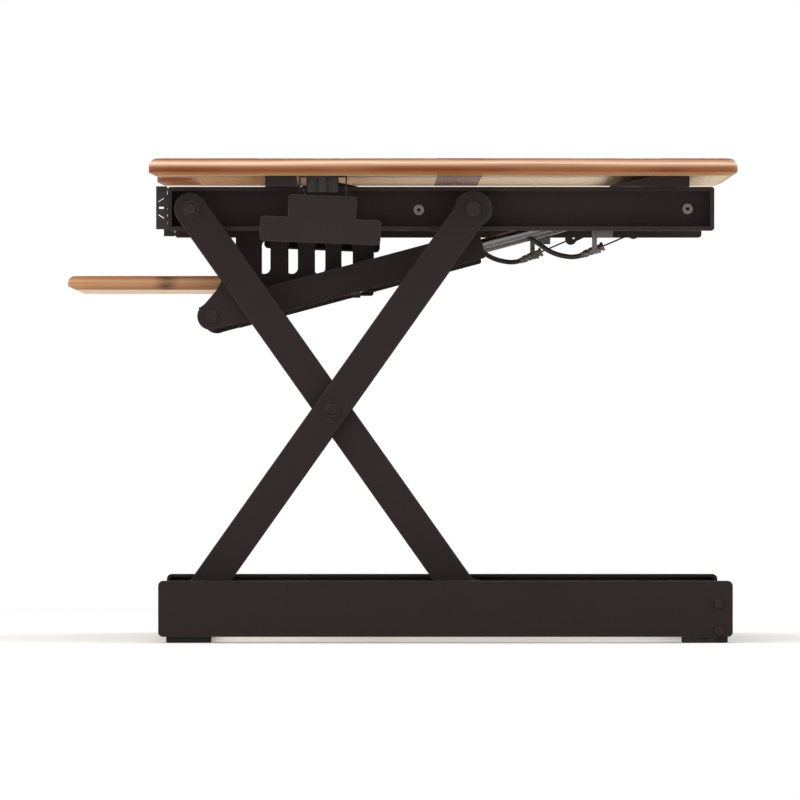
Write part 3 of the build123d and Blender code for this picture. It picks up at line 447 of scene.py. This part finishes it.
def dress(node, slot):
    """Gives a CAD node its material and softens its sharp edges."""
    piece = frame["nodes"][node]
    piece.data.materials.clear()
    piece.data.materials.append(SPECIAL.get(node, BY_SLOT[slot]))
    rounding = piece.modifiers.new("edge_rounding", "BEVEL")
    rounding.width = EDGE_ROUND.get(slot, FINE_ROUND)
    rounding.segments = 2
    rounding.limit_method = "ANGLE"
    rounding.angle_limit = math.radians(40)
    rounding.use_clamp_overlap = True
    rounding.harden_normals = True


for row in frame["record"]["subparts"]:
    dress(row["node"], row["material_slot"])


# ---------------------------------------------------------------- added pieces


def tube(name, runs, radius, material, body, resolution=4, closed=False):
    """A round wire along each run of points. A point may carry its own width as a fourth number."""
    curve = bpy.data.curves.new(name, "CURVE")
    curve.dimensions = "3D"
    curve.bevel_depth = radius
    curve.bevel_resolution = resolution
    curve.use_fill_caps = True
    for points in runs:
        spline = curve.splines.new("POLY")
        spline.points.add(len(points) - 1)
        for target, point in zip(spline.points, points):
            target.co = (*point[:3], 1.0)
            target.radius = point[3] if len(point) > 3 else 1.0
        spline.use_cyclic_u = closed
        spline.use_smooth = True
    curve.materials.append(material)
    piece = bpy.data.objects.new(name, curve)
    bpy.context.scene.collection.objects.link(piece)
    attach(piece, body)
    return piece


def lathe(name, origin, direction, profile, material, body, steps=40):
    """A turned piece: (distance along, radius) pairs spun about a line."""
    along = Vector(direction).normalized()
    first = along.orthogonal().normalized()
    second = along.cross(first)
    verts, faces = [], []
    for distance, radius in profile:
        for i in range(steps):
            turn = math.tau * i / steps
            outward = first * math.cos(turn) + second * math.sin(turn)
            verts.append(Vector(origin) + along * distance + outward * radius)
    for ring in range(len(profile) - 1):
        for i in range(steps):
            j = (i + 1) % steps
            a = ring * steps
            faces.append((a + i, a + j, a + steps + j, a + steps + i))
    faces.append(tuple(reversed(range(steps))))
    faces.append(tuple(range((len(profile) - 1) * steps, len(profile) * steps)))
    mesh = bpy.data.meshes.new(name)
    mesh.from_pydata(verts, [], faces)
    mesh.validate()
    for polygon in mesh.polygons:
        polygon.use_smooth = len(polygon.vertices) == 4
    mesh.materials.append(material)
    piece = bpy.data.objects.new(name, mesh)
    bpy.context.scene.collection.objects.link(piece)
    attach(piece, body)
    return piece


def middle(node):
    low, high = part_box(node)
    return (Vector(low) + Vector(high)) / 2


COIL_TURNS = 6
COIL_STEPS = 22
COIL_WIRE = 0.00075


def lever_coils():
    """Torsion springs on the lever pins, each with one leg up to the bracket and one down the lever."""
    low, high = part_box("lever_springs")
    radius = (high[2] - low[2]) / 2 - COIL_WIRE
    centre_z = (high[2] + low[2]) / 2
    centre_x = high[0] - radius - COIL_WIRE
    length = high[1] - low[1] - 2 * COIL_WIRE
    runs = []
    for sign in SIDES.values():
        points = [(sign * (centre_x - radius), low[1] + COIL_WIRE, centre_z + 3.2 * radius)]
        for i in range(COIL_TURNS * COIL_STEPS + 1):
            turn = math.tau * i / COIL_STEPS
            x = centre_x - radius * math.cos(turn)
            y = low[1] + COIL_WIRE + length * i / (COIL_TURNS * COIL_STEPS)
            points.append((sign * x, y, centre_z + radius * math.sin(turn)))
        points.append((sign * (centre_x - radius), high[1] - COIL_WIRE, centre_z - 2.6 * radius))
        runs.append(points)
    piece = tube("lever_coil_springs", runs, COIL_WIRE, ZINC, "upper_frame", 3)
    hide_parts("lever_springs")


lever_coils()


WELD_STEPS = 120
WELD_BEAD = 0.0014


def weld_ring(name, centre, radius, body):
    """A stitched weld bead round a tube end."""
    points = []
    for i in range(WELD_STEPS):
        turn = math.tau * i / WELD_STEPS
        swell = 1.0 + 0.16 * math.sin(turn * 26) + 0.07 * math.sin(turn * 5 + 1.3)
        y = centre[1] + radius * math.cos(turn)
        z = centre[2] + radius * math.sin(turn)
        points.append((centre[0], y, z, swell))
    tube(name, [points], WELD_BEAD, PAINT, body, 3, closed=True)


for side, sign in SIDES.items():
    for node, body in (("leg_cross_tube", "inner_legs"), ("rear_cross_tube", "upper_frame")):
        low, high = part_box(node)
        centre = middle(node)
        end = (sign * high[0], centre[1], centre[2])
        weld_ring(f"{node}_weld_{side}", end, (high[2] - low[2]) / 2, body)


RIB_STEPS = 6
BOOT_INSET = 0.0006


def ribbed(length, core, ribs, lip):
    """The profile of a boot with soft ribs that tapers towards its far end."""
    profile = [(0.0, core * 0.6), (0.0, core + lip)]
    for i in range(ribs * RIB_STEPS + 1):
        share = i / (ribs * RIB_STEPS)
        wave = 0.5 + 0.5 * math.cos(share * ribs * math.tau)
        radius = core * (1.12 - 0.22 * share) + lip * wave * (1 - 0.4 * share)
        profile.append((BOOT_INSET + share * (length - 2 * BOOT_INSET), radius))
    profile.append((length, core * 0.86))
    profile.append((length, core * 0.6))
    return profile


SHEATH_RADIUS = 0.0025
BOOT_LENGTH = 0.022
BOOT_PLACE = (-0.080, 0.4616)
FERRULE_LENGTH = 0.014
STOP_PLACE = (0.198, 0.396)
STOP_HALF_LENGTH = 0.0055
WIRE_RUN = Vector((0.0, 0.035, 0.015)).normalized()
CABLE_SHIFT = {"right": 0.0, "left": -0.056}
FERRULE = [
    (0.0, SHEATH_RADIUS),
    (0.0, SHEATH_RADIUS * 1.45),
    (0.0012, SHEATH_RADIUS * 1.55),
    (0.004, SHEATH_RADIUS * 1.55),
    (0.0046, SHEATH_RADIUS * 1.3),
    (0.0055, SHEATH_RADIUS * 1.3),
    (0.0061, SHEATH_RADIUS * 1.5),
    (0.0098, SHEATH_RADIUS * 1.5),
    (0.0104, SHEATH_RADIUS * 1.25),
    (FERRULE_LENGTH, SHEATH_RADIUS * 1.15),
    (FERRULE_LENGTH, SHEATH_RADIUS),
]


def cable_ends(side, sign):
    """The ribbed boot where a cable leaves the lever's block, and the crimped ferrule at its stop."""
    sheath_low, sheath_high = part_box(f"cable_sheath_{side}")
    start = (sign * max(abs(sheath_low[0]), abs(sheath_high[0])), *BOOT_PLACE)
    boot = ribbed(BOOT_LENGTH, SHEATH_RADIUS * 1.25, 6, 0.0007)
    lathe(f"cable_boot_{side}", start, (-sign, 0, 0), boot, SHEATHING, "upper_frame")
    wire_x = middle(f"release_link_{side}")[0]
    stop = Vector((wire_x, STOP_PLACE[0] + CABLE_SHIFT[side], STOP_PLACE[1])) - WIRE_RUN * STOP_HALF_LENGTH
    lathe(f"cable_ferrule_{side}", stop, -WIRE_RUN, FERRULE, GREY_STEEL, "upper_frame")


for side, sign in SIDES.items():
    cable_ends(side, sign)


TUBE_END = (0.07509, 0.39846)
ROD_END = (0.245, 0.444)
ROD_CORE = 0.0052
WIPER = [
    (0.0, ROD_CORE),
    (0.0, ROD_CORE + 0.0019),
    (0.0006, ROD_CORE + 0.0022),
    (0.0016, ROD_CORE + 0.0020),
    (0.0026, ROD_CORE + 0.0009),
    (0.0030, ROD_CORE + 0.0003),
    (0.0030, ROD_CORE),
]


def strut_wiper(side):
    """A rubber wiper round the rod where it leaves its gas tube."""
    along = Vector((0.0, ROD_END[0] - TUBE_END[0], ROD_END[1] - TUBE_END[1]))
    place = Vector((middle(f"gas_tube_{side}")[0], *TUBE_END))
    lathe(f"rod_wiper_{side}", place, along, WIPER, RUBBER, f"gas_tube_{side}_body")


for side in SIDES:
    strut_wiper(side)


# ---------------------------------------------------------------- floor, lights, camera


FLOOR_RADIUS = 3.2
FLOOR_STEPS = 96


def stage_floor():
    """A pale round floor under the object."""
    mesh = bpy.data.meshes.new("floor")
    turns = [math.tau * i / FLOOR_STEPS for i in range(FLOOR_STEPS)]
    ring = [(FLOOR_RADIUS * math.cos(turn), FLOOR_RADIUS * math.sin(turn), 0.0) for turn in turns]
    mesh.from_pydata(ring, [], [tuple(range(FLOOR_STEPS))])
    floor = bpy.data.objects.new("floor", mesh)
    bpy.context.scene.collection.objects.link(floor)
    g = Graph("pale_floor")
    cloud = g.noise(g.position, 2.0, 3.0)
    tone = g.mix(g.remap(cloud, 0.3, 0.7), (0.90, 0.90, 0.90), (0.93, 0.93, 0.93))
    mesh.materials.append(g.finish(tone, 0.9, Specular_IOR_Level=0.1))


def area_light(name, place, target, width, height, power):
    light = bpy.data.lights.new(name, "AREA")
    light.shape = "RECTANGLE"
    light.size = width
    light.size_y = height
    light.energy = power
    lamp = bpy.data.objects.new(name, light)
    lamp.location = place
    aim = Vector(target) - Vector(place)
    lamp.rotation_euler = aim.to_track_quat("-Z", "Y").to_euler()
    bpy.context.scene.collection.objects.link(lamp)


def white_world():
    world = bpy.data.worlds.new("studio_white")
    world.use_nodes = True
    background = world.node_tree.nodes["Background"]
    background.inputs["Color"].default_value = (1.0, 1.0, 1.0, 1.0)
    background.inputs["Strength"].default_value = 1.0
    bpy.context.scene.world = world
    bpy.context.scene.view_settings.view_transform = "Standard"


NEAR_PLANE = 0.475
DISTANCE = 20.5
VIEW_AXIS = (-0.036, 0.225)
FRAME_WIDTH = 0.8
SENSOR_WIDTH = 36.0
FRAME_CENTRE = (-0.002, 0.243)


def photo_camera():
    """A long lens square to the right-hand side, with the frame shifted to hold the object."""
    lens = bpy.data.cameras.new("camera")
    lens.sensor_width = SENSOR_WIDTH
    lens.lens = lens.sensor_width * DISTANCE / FRAME_WIDTH
    lens.shift_x = (FRAME_CENTRE[0] - VIEW_AXIS[0]) / FRAME_WIDTH
    lens.shift_y = (FRAME_CENTRE[1] - VIEW_AXIS[1]) / FRAME_WIDTH
    lens.clip_start = 1.0
    lens.clip_end = 100.0
    camera = bpy.data.objects.new("camera", lens)
    camera.location = (NEAR_PLANE + DISTANCE, *VIEW_AXIS)
    camera.rotation_euler = (math.pi / 2, 0.0, math.pi / 2)
    bpy.context.scene.collection.objects.link(camera)
    bpy.context.scene.camera = camera


stage_floor()
white_world()
area_light("key", (1.6, -1.8, 2.2), (0.0, 0.0, 0.25), 1.8, 1.8, 16.0)
area_light("overhead", (0.2, 0.4, 2.6), (0.0, 0.0, 0.3), 2.4, 2.0, 12.0)
area_light("rim", (-1.6, 1.8, 1.6), (0.0, 0.0, 0.25), 1.4, 1.4, 10.0)
photo_camera()
